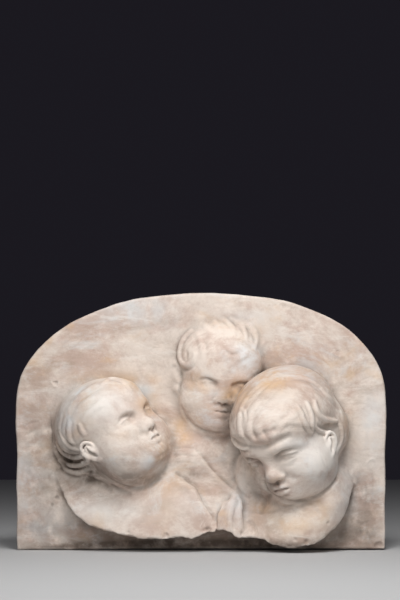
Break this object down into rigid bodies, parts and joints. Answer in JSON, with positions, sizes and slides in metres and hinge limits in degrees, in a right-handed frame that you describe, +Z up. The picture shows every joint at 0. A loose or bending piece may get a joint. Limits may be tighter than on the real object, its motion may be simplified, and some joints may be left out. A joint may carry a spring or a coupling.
{
  "type": "cherub wall plaque",
  "caption": "Arched plaster wall plaque with children's heads in high and low relief, the busts broken off unevenly below, and a plain flat back.",
  "frame": {"origin": "middle of the flat back face, where the plaque lies against the wall", "axes": "+X to the viewer's right, +Y into the wall, out of the back face, +Z up; the relief faces -Y"},
  "size_m": [0.5022, 0.1432, 0.347],
  "materials": {
    "patinated_plaster": "matt patinated plaster: warm cream with pink-tan and ochre stains, bluish-white rubbed patches and grey-brown dirt in the hollows"
  },
  "bodies": {
    "root": {"relief_plaque": "patinated_plaster"}
  },
  "joints": []
}
